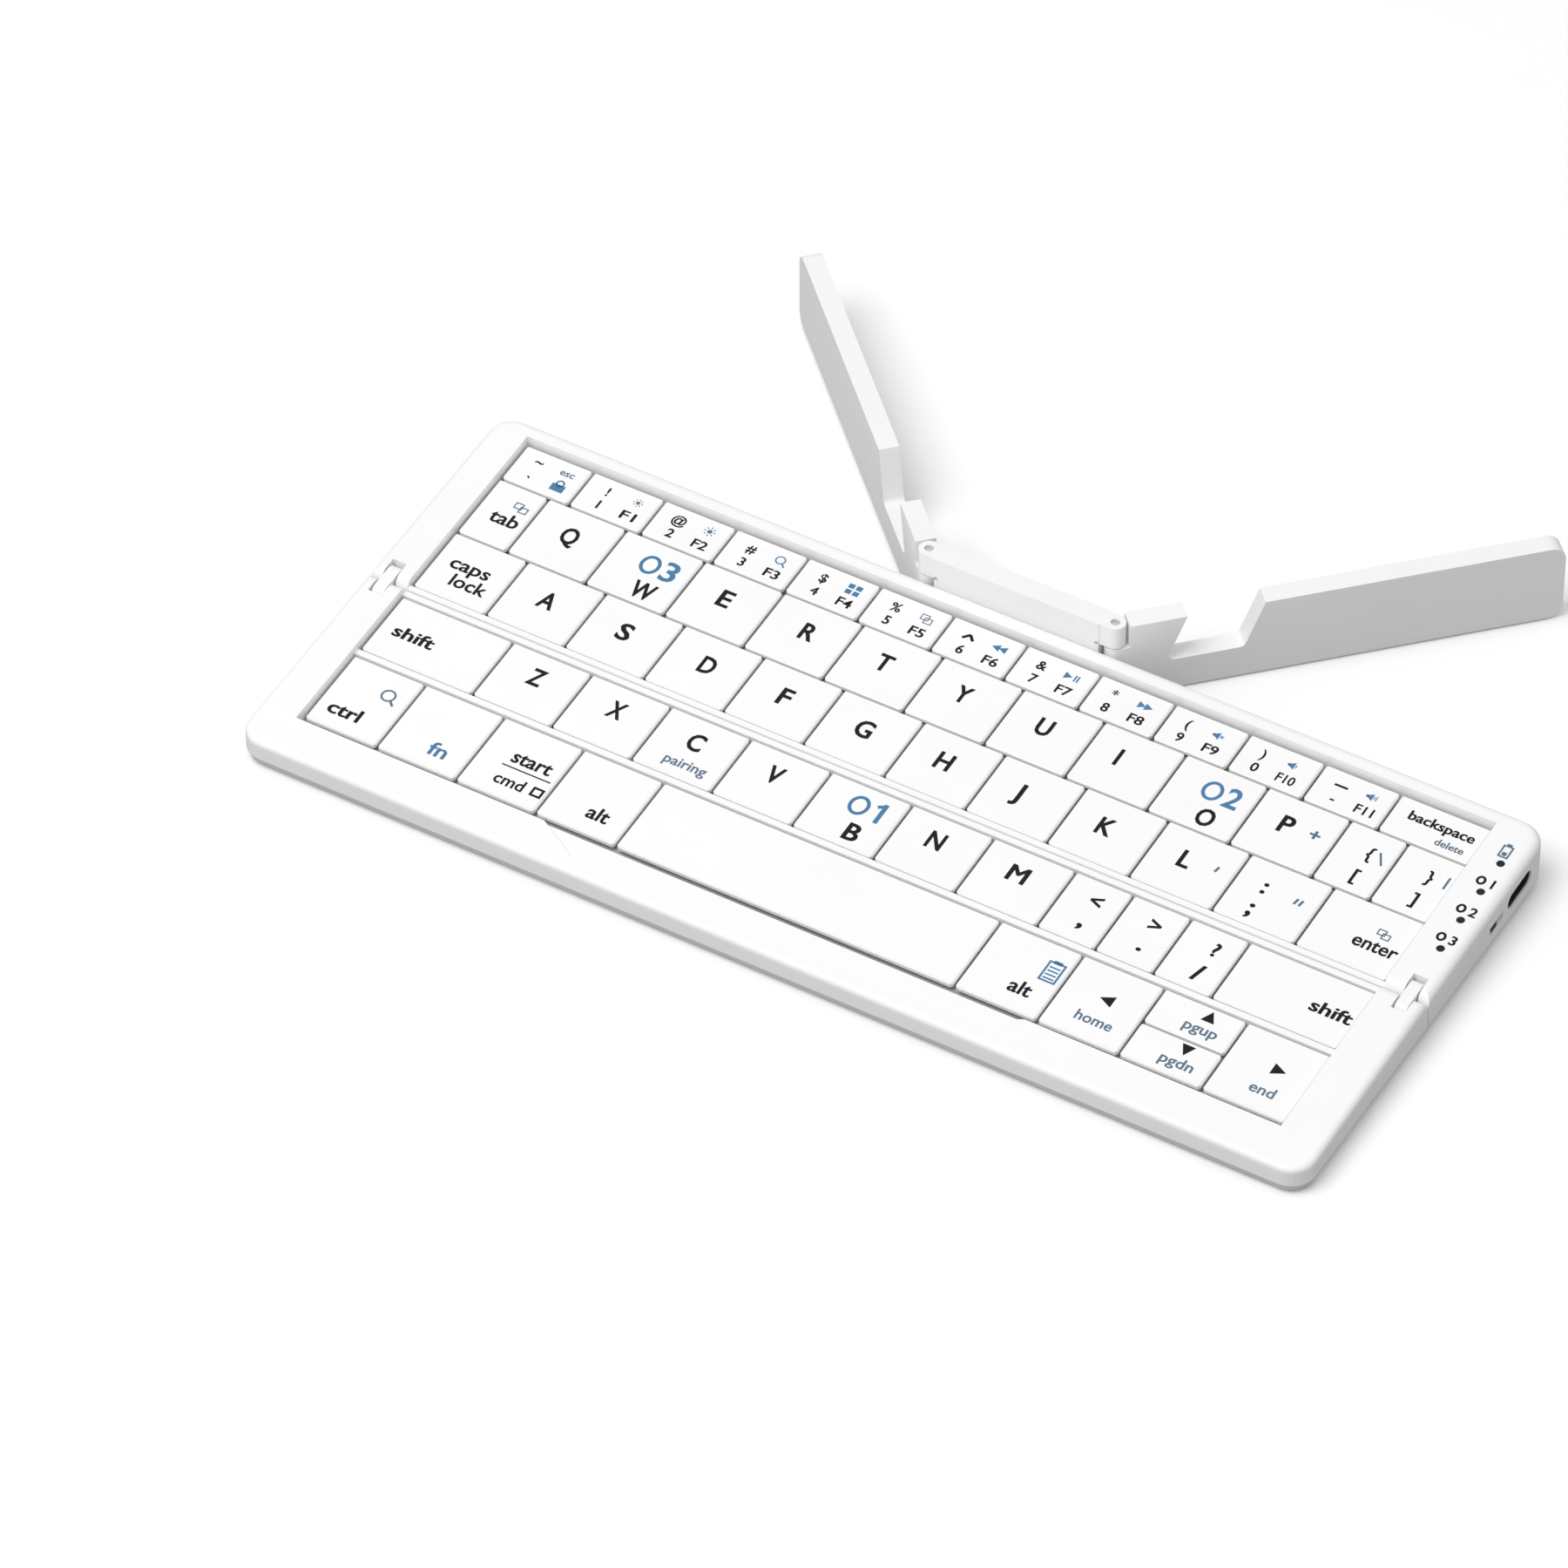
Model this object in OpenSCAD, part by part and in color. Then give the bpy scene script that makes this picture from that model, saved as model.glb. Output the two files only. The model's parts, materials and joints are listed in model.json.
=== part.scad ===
// Folding keyboard: two wedge-shaped halves that fold face to face on a pair of
// double-pivot links, with a two-legged stand hinged behind the back edge.
// +Z is up, +Y points away from the typist, the table is z = 0.

/* [Case] */
// How much shorter the front half is, so that it folds clear of the stand
lid_short = 0.4; // [0.3:0.1:1]
// Thickness of the case at the front edge
front_t = 6; // [5.8:0.1:8]
// Thickness of the case at the back edge
back_t = 11.8; // [11:0.1:14]
// Radius of the outer corners, seen from above
corner_r = 5; // [3:0.5:9]
// Rounding of the upper edges at the front
edge_r = 1.2; // [0.6:0.1:1.6]
// Rounding of the upper edges at the back
back_edge_r = 2; // [1.2:0.1:2.2]
// Thickness of the bottom covers
cover_t = 1; // [0.8:0.1:1.2]
// How far the bottom covers stand back from the side walls
cover_inset = 0.8; // [0.4:0.1:1.2]
// Height of the rubber feet below the covers
foot_h = 0.5; // [0.3:0.1:1]
// Radius of the rubber feet
foot_r = 4; // [3:0.5:5]

/* [Key field] */
// Pitch of the letter keys
key_pitch = 17; // [15.5:0.1:19]
// Gap between neighbouring keys
key_gap = 0.55; // [0.4:0.05:0.8]
// Width of the left rim, edge to key well
rim_left = 7.8; // [7:0.2:9]
// Width of the right rim, edge to key well
rim_right = 9.1; // [8.5:0.2:10]
// Width of the back rim, edge to key well
back_rim = 3.675; // [3.425:0.05:5.025]
// Gap between the outer keys and the wall of the key well
well_gap = 0.5; // [0.3:0.1:0.8]
// Depth of a letter row
row_d = 15.85; // [14.5:0.05:18]
// Depth of the number row
num_row_d = 10; // [9:0.1:12]
// Depth of the row below the home row
low_row_d = 15.35; // [14.5:0.05:15.5]
// Depth of the space bar row
space_row_d = 18.1; // [17:0.1:18.2]
// Gap between the two rows of the front half
row_break = 1.6; // [1:0.1:2]
// Height of the rims above the key tops
rim_rise = 1.5; // [1.2:0.1:1.6]
// Height of a key cap
cap_h = 1; // [0.9:0.05:1.1]
// Travel of a key
key_travel = 1; // [0.8:0.05:1]
// Thickness of the switch sheet
sheet_t = 0.3; // [0.2:0.05:0.4]
// Thickness of the steel key plate
plate_t = 0.5; // [0.4:0.05:0.6]
// Width of the low rims beside the split
split_rim = 1.3; // [1:0.1:1.4]
// Cell width of the key before the digits, half a gap on each side included
grave_w = 14.8; // [13:0.1:16]
// Cell width of the backspace key
backspace_w = 18.745; // [17:0.005:21]
// Cell width of the tab key
tab_w = 10.9; // [9.5:0.1:12]
// Cell width of the first bracket key
bracket_w = 11.75; // [10.5:0.05:13]
// Cell width of the caps lock key
caps_w = 15.9; // [14:0.1:18]
// Cell width of the enter key
enter_w = 18.75; // [17:0.05:21]
// Cell width of the left shift key
shift_left_w = 24.2; // [22:0.1:26]
// Cell width of the right shift key
shift_right_w = 25.75; // [24:0.05:28]
// Cell width of the control key
ctrl_w = 15.6; // [14:0.1:17]
// Cell width of the left arrow key
left_w = 16.6; // [15:0.1:18]
// Cell width of the up and down arrow keys
up_w = 16.8; // [15:0.1:18]
// Cell width of the right arrow key
right_w = 17.05; // [15:0.05:19]

/* [Fold links] */
// Distance of each fold pivot from the split
pivot_off = 2.3; // [2.2:0.05:2.5]
// Gap between the two halves, open and folded
split_gap = 0.3; // [0.2:0.05:0.4]
// Radius of the round ends of a link
link_r = 1.9; // [1.7:0.05:2]
// Width of a link
link_w = 2.4; // [2:0.1:3]
// Distance of the links from the sides of the case
link_in = 3.8; // [3.6:0.1:4.6]
// Radius of the fold pins
fold_pin_r = 0.7; // [0.6:0.05:0.9]

/* [Stand] */
// Height of the stand above the table
stand_h = 17.9; // [17:0.1:19]
// Thickness of the centre bracket
bracket_t = 4.4; // [4.2:0.1:5]
// Distance between the two leg hinges
hinge_span = 39.4; // [36:0.2:44]
// Length of a leg from its hinge
leg_len = 86.4; // [70:0.2:88]
// Thickness of a leg
leg_t = 4; // [3.8:0.1:4.1]
// Angle of the open legs from the back edge
leg_open = 45; // [35:1:60]
// Radius of the hinge pins of the legs
leg_pin_r = 0.9; // [0.7:0.1:1.1]
// Height of the middle knuckle of a hinge
knuckle_h = 7.9; // [6:0.1:9]
// Distance of the device slot's floor from the hinge
slot_u = 9.4; // [8:0.2:12]
// Length of the device slot along a leg
slot_len = 15; // [13:0.2:18]
// Height of the device slot's floor above the table
slot_z = 7.6; // [6:0.1:10]
// Lean of the device slot's sides
slot_lean = 20.5; // [10:0.5:25]

/* [Ports] */
// Distance of the charging port from the split
port_v = 35.4; // [33:0.2:37]
// Depth of the port's centre below the top
port_h = 5.1; // [4.9:0.1:5.6]
// Distance of the power slider from the split
slider_v = 25.4; // [24:0.2:27]
// Travel of the power slider
slider_travel = 2; // [1.5:0.1:2]
// Distance of the first indicator from the split
led_v = 12; // [10:0.2:13]
// Pitch of the indicators
led_pitch = 7.75; // [6:0.05:8]
// Distance of the indicators from the right side
led_in = 3.9; // [3:0.1:5]

/* [Hidden] */
$fn = 48;

over = 20;            // how far a cutting block reaches past what it cuts
slide_clear = 0.05;   // clearance of a running pin
seat_clear = 0.02;    // clearance of a piece in its seat
swing_clear = 0.3;    // clearance of what swings or slides

// Key rows: the home row sets the width of the field, and the space bar, the digits and
// the small keys of the other rows share what their neighbours leave
home_keys = 10;
digit_keys = 11;
low_keys = 7;
small_keys = 3;
space_keys = 4;
field_w = caps_w + home_keys * key_pitch + enter_w;
num_w = (field_w - grave_w - backspace_w) / digit_keys;
small_w = (field_w - shift_left_w - low_keys * key_pitch - shift_right_w) / small_keys;
space_w = field_w - ctrl_w - space_keys * key_pitch - left_w - up_w - right_w;
home_v = split_rim + well_gap - key_gap / 2;
well_back = home_v + 2 * row_d + num_row_d + well_gap;

// Places in the row frame: the origin is under the middle of the whole object
case_w = rim_left + 2 * well_gap - key_gap + field_w + rim_right;
half_d = well_back + back_rim;
lid_d = half_d - lid_short;
leg_reach = (leg_len + leg_t / 2) * sin(leg_open);
split_y = -(bracket_t / 2 + leg_reach + half_d - lid_d) / 2;
back_y = split_y + half_d;
front_y = split_y - lid_d;
hinge_y = back_y + bracket_t / 2;
mid_t = (front_t + back_t) / 2;
tilt = atan((back_t - front_t) / (2 * half_d));
cover_top = foot_h + cover_t;
stand_z = foot_h;

// Levels of the deck frame: v runs up the slope from the split, h is the height
// over the top plane
key_top = -rim_rise;
cap_low = key_top - cap_h;
sheet_top = cap_low - key_travel - 0.1;
plate_top = sheet_top - sheet_t;
plate_low = plate_top - plate_t;
pivot_h = -(pivot_off - split_gap / 2);
socket_w = 8.94;
socket_h = 3.26;
socket_len = 7.3;
board_top = -port_h - socket_h / 2;
board_t = 1;

// Key field
well_x0 = -case_w / 2 + rim_left;
well_x1 = case_w / 2 - rim_right;
field_x = well_x0 + well_gap;
front_margin = 1.8;   // from the space bar row to the front wall of the well
well_front = home_v + low_row_d + row_break + space_row_d + front_margin;

function upto(w, i) = i <= 0 ? 0 : w[i - 1] + upto(w, i - 1);
function repeat(size, count) = [for (i = [1:count]) size];

// Each row: front edge, depth, widths of its keys with half a gap on each side
ROWS = [
    [home_v + 2 * row_d, num_row_d,
        concat([grave_w], repeat(num_w, digit_keys), [backspace_w])],
    [home_v + row_d, row_d,
        concat([tab_w], repeat(key_pitch, home_keys),
               [bracket_w, field_w - tab_w - home_keys * key_pitch - bracket_w])],
    [home_v, row_d, concat([caps_w], repeat(key_pitch, home_keys), [enter_w])],
    [-home_v - low_row_d, low_row_d,
        concat([shift_left_w], repeat(key_pitch, low_keys), repeat(small_w, small_keys),
               [shift_right_w])],
    [-home_v - low_row_d - row_break - space_row_d, space_row_d,
        concat([ctrl_w], repeat(key_pitch, space_keys - 1),
               [space_w, key_pitch, left_w, up_w, right_w])]];

// Middle of a key, and size and middle of the two half keys stacked in the arrow group
function key_x(row, i) = field_x + upto(ROWS[row][2], i) + ROWS[row][2][i] / 2 - key_gap / 2;
function key_v(row) = ROWS[row][0] + ROWS[row][1] / 2;
split_key = 7;
half_key_d = ROWS[4][1] / 2 - key_gap;
function half_key_v(part) = ROWS[4][0] + (key_gap + half_key_d) / 2 + part * (half_key_d + key_gap);

// ---------- frames and outlines ----------

module deck() {
    translate([0, split_y, foot_h + mid_t]) rotate([tilt, 0, 0]) children();
}

// A block in the deck frame between two opposite corners
module deck_block(low, high) {
    deck() translate(low) cube(high - low);
}

// Everything above the deck level h
module above(h) {
    deck_block([-case_w, -case_w, h], [case_w, case_w, h + over]);
}

// The side of the split that one half takes up: 1 for the back, -1 for the front
module side_of_split(side) {
    low = side > 0 ? split_gap / 2 : -case_w;
    deck_block([-case_w, low, -over], [case_w, low + case_w - split_gap / 2, over]);
}

module rounded_square(w, d, r) {
    translate([-w / 2 + r, -d / 2]) square([w - 2 * r, d]);
    translate([-w / 2, -d / 2 + r]) square([w, d - 2 * r]);
    for (x = [-1, 1], y = [-1, 1])
        translate([x * (w / 2 - r), y * (d / 2 - r)]) circle(r);
}

// Outline of the whole case, drawn in by inset
module case_outline(inset) {
    translate([0, (front_y + back_y) / 2])
        rounded_square(case_w - 2 * inset, back_y - front_y - 2 * inset, corner_r - inset);
}

// The open case in one piece: upright walls under a sloping, softly rounded top, and a
// bevel down to the outline of the covers
module case_solid() {
    hull() for (x = [-1, 1], y = [front_y + corner_r, back_y - corner_r]) {
        r = y > split_y ? back_edge_r : edge_r;
        top = foot_h + mid_t + (y - split_y) * tan(tilt);
        translate([x * (case_w / 2 - corner_r), y, cover_top]) {
            cylinder(r = corner_r - cover_inset, h = cover_inset, $fn = 32);
            translate([0, 0, cover_inset])
                cylinder(r = corner_r, h = top - 1.6 * r - cover_top - cover_inset, $fn = 32);
        }
        translate([x * (case_w / 2 - corner_r), y, top - r / cos(tilt)])
            rotate([tilt, 0, 0])
                rotate_extrude($fn = 32) translate([corner_r - r, 0]) circle(r, $fn = 24);
    }
}

// ---------- shared parts of the two halves ----------

// Cut that lets a link lie, swing and stand in one half
module link_slot(side) {
    r = link_r + swing_clear;
    w = link_w + 2 * swing_clear;
    for (x = [-1, 1]) deck() translate([x * (case_w / 2 - link_in) - w / 2, 0, 0]) {
        translate([0, side * pivot_off, pivot_h]) rotate([0, 90, 0]) cylinder(r = r, h = w);
        translate([0, side > 0 ? -1 : -pivot_off, pivot_h - r]) cube([w, pivot_off + 1, r + over]);
        translate([0, side > 0 ? pivot_off - 0.1 : -pivot_off - r, pivot_h])
            cube([w, r + 0.1, over]);
    }
}

// Bores of the fold pins beside a link's slot
module fold_pin_bores(side) {
    len = link_w + 2 * swing_clear + 2 * 1.6;
    for (x = [-1, 1]) deck()
        translate([x * (case_w / 2 - link_in) - len / 2, side * pivot_off, pivot_h])
            rotate([0, 90, 0]) cylinder(r = fold_pin_r + seat_clear, h = len);
}

// Rolls the upper edge along the split round its pivot, so the halves clear each other
module split_edge_cut(side) {
    r = -pivot_h;
    difference() {
        deck_block([-case_w, side > 0 ? -1 : -pivot_off, pivot_h],
                   [case_w, side > 0 ? pivot_off : 1, 1]);
        deck() translate([-case_w, side * pivot_off, pivot_h]) rotate([0, 90, 0])
            cylinder(r = r, h = 2 * case_w, $fn = 64);
    }
}

// Blind seats of the round plugs in the side walls
plug_v = 7;
plug_h = -2.7;
plug_r = 0.9;
plug_len = 1;
module plug_seats(side) {
    for (x = [-1, 1]) deck() translate([x * (case_w / 2 - plug_len / 2), side * plug_v, plug_h])
        rotate([0, 90, 0])
            cylinder(r = plug_r + seat_clear, h = plug_len + 2 * seat_clear, center = true);
}

// Key well of one half, with the wider pocket that the sheet and plate seat in
seat_edge = 1;
module key_well(side) {
    v0 = side > 0 ? split_rim + 0.1 : -well_front;
    v1 = side > 0 ? well_back : -split_rim - 0.1;
    deck_block([well_x0, v0, -over], [well_x1, v1, over]);
    deck_block([well_x0 - seat_edge, v0 - (side > 0 ? 0 : seat_edge), -over],
               [well_x1 + seat_edge, v1 + (side > 0 ? seat_edge : 0), sheet_top]);
    // the rim beside the split lies as low as the key tops
    deck_block([well_x0, side > 0 ? -1 : v1 - 0.1, key_top],
               [well_x1, side > 0 ? v0 + 0.1 : 1, over]);
}

module half_housing(side) {
    difference() {
        intersection() {
            case_solid();
            side_of_split(side);
        }
        key_well(side);
        link_slot(side);
        fold_pin_bores(side);
        split_edge_cut(side);
        plug_seats(side);
    }
}

// Bottom cover with the ribs that carry the key plate
rib_w = 2;
rib_from = 6;         // distance of the ribs from the split
rib_in = 6.2;         // distance of the outer ribs from the walls of the well
rib_end = 4;          // distance of the ribs from the back or front wall of the well
module half_cover(side, ribs) {
    rib_d = (side > 0 ? well_back : well_front) - rib_from - rib_end;
    intersection() {
        union() {
            translate([0, 0, foot_h]) linear_extrude(cover_t) case_outline(cover_inset);
            difference() {
                for (x = ribs)
                    translate([x - rib_w / 2, split_y + (side > 0 ? rib_from : -rib_from - rib_d),
                               cover_top - 0.1])
                        cube([rib_w, rib_d, over]);
                above(plate_low);
            }
        }
        side_of_split(side);
    }
    cover_lip(side);
}

// Lip that centres a bottom cover in the pocket of its housing
lip_t = 0.8;
lip_h = 0.8;
lip_clear = 0.1;
module cover_lip(side) {
    v0 = side > 0 ? split_rim + 0.1 : -well_front - seat_edge;
    v1 = side > 0 ? well_back + seat_edge : -split_rim - 0.1;
    x0 = well_x0 - seat_edge;
    x1 = well_x1 + seat_edge;
    c = lip_clear;
    t = lip_clear + lip_t;
    intersection() {
        translate([-case_w, -case_w, cover_top - 0.1]) cube([2 * case_w, 2 * case_w, lip_h + 0.1]);
        difference() {
            deck_block([x0 + c, v0 + c, -over], [x1 - c, v1 - c, 0]);
            deck_block([x0 + t, v0 + t, -over - 1], [x1 - t, v1 - t, 1]);
        }
    }
}

// A sheet of the key stack, as wide as its pocket
module stack_layer(side, low, high) {
    v0 = side > 0 ? split_rim + 0.1 + seat_clear : -well_front - seat_edge + seat_clear;
    v1 = side > 0 ? well_back + seat_edge - seat_clear : -split_rim - 0.1 - seat_clear;
    deck_block([well_x0 - seat_edge + seat_clear, v0, low],
               [well_x1 + seat_edge - seat_clear, v1, high]);
}

// Low switch domes, one under each key, as high as a pressed key leaves them
dome_r = 2.6;
dome_h = 0.2;
module dome(x, v) {
    deck() translate([x, v, sheet_top - sheet_t / 2])
        cylinder(r = dome_r, h = dome_h + sheet_t / 2);
}
module domes(rows) {
    for (row = rows, i = [0:len(ROWS[row][2]) - 1])
        if (row < 4 || i != split_key) dome(key_x(row, i), key_v(row));
}

module feet_at(places) {
    for (p = places) translate([p[0], p[1], 0])
        cylinder(r = foot_r - seat_clear, h = foot_h + 0.4);
}
module foot_seats(places) {
    for (p = places) translate([p[0], p[1], -1]) cylinder(r = foot_r, h = foot_h + 0.4 + 1);
}
foot_in = 9;
back_feet = [for (x = [-1, 1], y = [split_y + foot_in, back_y - foot_in])
    [x * (case_w / 2 - 2 * foot_in), y]];
front_feet = [for (x = [-1, 1]) [x * (case_w / 2 - 2 * foot_in), front_y + foot_in]];

// ---------- keys ----------

// One key: a cap with bevelled upper edges, hollow below, with its plunger
cap_bevel = 0.3;
cap_wall = 0.7;
cap_corner = 0.7;
cap_roof = 0.6;       // thickness of a cap's top
plunger_r = 1.5;
plunger_up = 0.2;     // how far the plunger ends above the cap's lower edge
module key_cap(w, d) {
    difference() {
        intersection() {
            linear_extrude(cap_h) rounded_square(w, d, cap_corner);
            rotate([90, 0, 0]) translate([0, 0, -d]) linear_extrude(2 * d) cap_section(w);
            rotate([90, 0, 90]) translate([0, 0, -w]) linear_extrude(2 * w) cap_section(d);
        }
        translate([-w / 2 + cap_wall, -d / 2 + cap_wall, -1])
            cube([w - 2 * cap_wall, d - 2 * cap_wall, 1 + cap_h - cap_roof]);
    }
    translate([0, 0, plunger_up])
        cylinder(r = plunger_r, h = cap_h - cap_roof + 0.1 - plunger_up);
}
module cap_section(w) {
    b = cap_bevel;
    polygon([[-w / 2, 0], [w / 2, 0], [w / 2, cap_h - b], [w / 2 - b, cap_h],
             [-w / 2 + b, cap_h], [-w / 2, cap_h - b]]);
}

module key(row, i) {
    color("white") deck() translate([key_x(row, i), key_v(row), cap_low])
        key_cap(ROWS[row][2][i] - key_gap, ROWS[row][1] - key_gap);
}

module keys(row, picks) {
    for (i = picks) key(row, i);
}

module number_keys() keys(0, [0:11]);
module edge_keys() {
    key(0, 12);
    key(1, 0);
    key(2, 0);
}
module punctuation_back() {
    keys(1, [11, 12]);
    key(2, 10);
}
module punctuation_front() keys(3, [8:10]);
module bottom_keys() {
    keys(3, [0, 11]);
    keys(4, [0, 1, 2, 3, 5]);
}

// The middle key of the arrow group is split across into up and down
module arrow_keys() {
    keys(4, [6, 8]);
    color("white") for (part = [0, 1])
        deck() translate([key_x(4, split_key), half_key_v(part), cap_low])
            key_cap(ROWS[4][2][split_key] - key_gap, half_key_d);
}

// ---------- back half ----------

wall_out = 1.6;       // side wall left outside the port and slider pockets
slider_h = -5.4;      // height of the slider in the deck frame
knob_w = 2.4;
knob_h = 1.5;
knob_d = 1;
neck_w = 1.6;
neck_h = 0.9;
neck_d = 2.2;
flange_w = 3.2;
flange_h = 2.2;
flange_d = 0.8;
screw_x = 12.8;
screw_z = 6;
screw_r = 0.8;
screw_head_r = 1.4;
screw_head_t = 0.7;
screw_len = 6.6;
led_r = 0.8;
led_len = 1.1;

// A block of the right wall, from depth in below the side face to depth out
module wall_block(v, h, w, t, in, out) {
    deck_block([case_w / 2 - in, v - w / 2, h - t / 2],
               [case_w / 2 - out, v + w / 2, h + t / 2]);
}

// Flat-sided round-ended bar along X, the shape of the charging port
module port_bar(w, t, len) {
    rotate([90, 0, 90]) linear_extrude(len) {
        translate([-(w - t) / 2, -t / 2]) square([w - t, t]);
        for (s = [-1, 1]) translate([s * (w - t) / 2, 0]) circle(t / 2);
    }
}

module port_and_slider_cuts() {
    // port: a snug mouth in the wall, then a pocket open to the board below
    deck() translate([case_w / 2 - wall_out - 1, port_v, -port_h])
        port_bar(socket_w + 0.3, socket_h + 0.3, wall_out + 2);
    deck_block([well_x1 - 1, port_v - socket_w / 2 - 0.8, -over],
               [case_w / 2 - wall_out, port_v + socket_w / 2 + 0.8, -port_h + socket_h / 2 + 0.2]);
    // slider: finger recess, neck slot, then the flange's chamber
    travel = slider_travel;
    mid = slider_v + travel / 2;
    wall_block(mid, slider_h, knob_w + travel + 0.6, knob_h + 0.3, knob_d + 0.3, -1);
    wall_block(mid, slider_h, neck_w + travel + 0.6, neck_h + 0.3, knob_d + neck_d - 0.2, 0);
    wall_block(mid, slider_h, flange_w + travel + 0.8, flange_h + 0.6,
               rim_right + 1, knob_d + neck_d - 0.3);
}

module back_housing() color("whitesmoke") difference() {
    half_housing(1);
    port_and_slider_cuts();
    for (i = [0:3]) deck()
        translate([case_w / 2 - led_in, led_v + i * led_pitch, -led_len - 0.05])
            cylinder(r = led_r + seat_clear, h = 3);
    for (i = [-1:1]) translate([i * screw_x, back_y - screw_len + bracket_t, screw_z])
        rotate([-90, 0, 0]) cylinder(r = screw_r + seat_clear, h = screw_len);
}

board_w = 59.5;
board_x1 = well_x1 - 0.4;
board_x0 = board_x1 - board_w;
board_v0 = 8;
board_v1 = well_back - 2.7;
post_r = 1.8;
post_in = 4;
board_posts = [for (x = [board_x0 + post_in, board_x1 - post_in],
                    v = [board_v0 + post_in, board_v1 - post_in]) [x, v]];

// Flat pouch cell, at the other end of the bottom cover
battery_w = 66;
battery_d = 30;
battery_t = 2.6;
battery_in = 10.2;
battery_v = board_v0 + 1 + battery_d / 2;
battery_x = well_x0 + battery_in + battery_w / 2;

cell_rib = 5;         // from the cell to the next rib
board_rib = 6;        // from the rib to the board
module back_cover() color("gainsboro") difference() {
    union() {
        half_cover(1, [well_x0 + rib_in, battery_x + battery_w / 2 + cell_rib,
                       board_x0 - board_rib]);
        difference() {
            for (p = board_posts) translate([p[0], split_y + p[1], cover_top - 0.1])
                cylinder(r = post_r, h = over);
            above(board_top - board_t);
        }
    }
    foot_seats(back_feet);
}

module back_plate() color("silver") stack_layer(1, plate_low, plate_top);
module back_sheet() color("lightgray") {
    stack_layer(1, plate_top, sheet_top);
    domes([0, 1, 2]);
}

// Main board under the right of the key plate, with a tab below the port
module circuit_board() color("seagreen") {
    deck_block([board_x0, board_v0, board_top - board_t],
               [board_x1, board_v1, board_top]);
    deck_block([board_x1 - 0.1, port_v - socket_w / 2, board_top - board_t],
               [case_w / 2 - wall_out - 0.2, port_v + socket_w / 2, board_top]);
    for (c = CHIPS)
        deck_block([board_x0 + c[0], board_v0 + c[1], board_top - 0.1],
                   [board_x0 + c[0] + c[2], board_v0 + c[1] + c[3], board_top + chip_t]);
}
// Chips on the board: distance from its left and front edge, width, depth
CHIPS = [[8, 6, 9, 9], [26, 12, 7, 7], [40, 6, 5, 8], [46, 22, 6, 4]];
chip_t = 0.9;

module battery() color("silver") deck()
    translate([battery_x, battery_v, plate_low - 0.4 - battery_t])
        linear_extrude(battery_t) rounded_square(battery_w, battery_d, 2);

// Charging port: a drawn shell with its contact tongue
shell_t = 0.3;
module usb_socket() color("silver") deck()
    translate([case_w / 2 - 0.3 - socket_len, port_v, -port_h]) {
        difference() {
            port_bar(socket_w, socket_h, socket_len);
            translate([1.2, 0, 0])
                port_bar(socket_w - 2 * shell_t, socket_h - 2 * shell_t, socket_len);
        }
        translate([0.6, -3.3, -0.35]) cube([5.8, 6.6, 0.7]);
    }

module power_slider() color("dimgray") {
    x0 = 0.1;
    wall_block(slider_v, slider_h, knob_w, knob_h, x0 + knob_d, x0);
    wall_block(slider_v, slider_h, neck_w, neck_h, x0 + knob_d + neck_d, x0 + knob_d - 0.1);
    wall_block(slider_v, slider_h, flange_w, flange_h,
               x0 + knob_d + neck_d + flange_d, x0 + knob_d + neck_d - 0.1);
}

module indicator_lenses() color("gray") for (i = [0:3]) deck()
    translate([case_w / 2 - led_in, led_v + i * led_pitch, -led_len])
        cylinder(r = led_r, h = led_len - 0.05);

// ---------- front half ----------

// Shallow lead-in for the thumbs, narrowing towards the front edge
scoop_back_w = 100;
scoop_front_w = 83;
scoop_d = 5;
scoop_depth = 0.9;
module thumb_scoop() {
    deck() translate([0, -well_front, -scoop_depth]) linear_extrude(over)
        polygon([[-scoop_back_w / 2, 1], [-scoop_back_w / 2, 0], [-scoop_front_w / 2, -scoop_d],
                 [scoop_front_w / 2, -scoop_d], [scoop_back_w / 2, 0], [scoop_back_w / 2, 1]]);
}

// Crossbar of the well between the two rows of the front half
bar_gap = 0.45;
module row_bar() {
    mid = -home_v - low_row_d - row_break / 2;
    w = row_break + key_gap - 2 * bar_gap;
    deck_block([well_x0 - 0.5, mid - w / 2, sheet_top + 0.05],
               [well_x1 + 0.5, mid + w / 2, key_top]);
}

module front_housing() color("whitesmoke") {
    difference() {
        half_housing(-1);
        thumb_scoop();
    }
    row_bar();
}

module front_cover() color("gainsboro") difference() {
    half_cover(-1, [well_x0 + rib_in, well_x0 / 3, well_x1 / 3, well_x1 - rib_in]);
    foot_seats(front_feet);
}

module front_plate() color("silver") stack_layer(-1, plate_low, plate_top);
module front_sheet() color("lightgray") {
    stack_layer(-1, plate_top, sheet_top);
    domes([3, 4]);
    for (part = [0, 1]) dome(key_x(4, split_key), half_key_v(part));
}

// ---------- fold links ----------

module fold_link(x) color("whitesmoke") deck()
    translate([x * (case_w / 2 - link_in) - link_w / 2, 0, pivot_h]) rotate([90, 0, 90])
        linear_extrude(link_w) difference() {
            union() {
                translate([-pivot_off, -link_r]) square([2 * pivot_off, 2 * link_r]);
                for (s = [-1, 1]) translate([s * pivot_off, 0]) circle(link_r);
            }
            for (s = [-1, 1]) translate([s * pivot_off, 0]) circle(fold_pin_r + slide_clear);
        }
module fold_link_left() fold_link(-1);
module fold_link_right() fold_link(1);

module fold_pins(side) color("silver") {
    len = link_w + 2 * swing_clear + 2 * 1.5;
    for (x = [-1, 1]) deck()
        translate([x * (case_w / 2 - link_in) - len / 2, side * pivot_off, pivot_h])
            rotate([0, 90, 0]) cylinder(r = fold_pin_r, h = len);
}
module fold_pins_back() fold_pins(1);
module fold_pins_front() fold_pins(-1);

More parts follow.
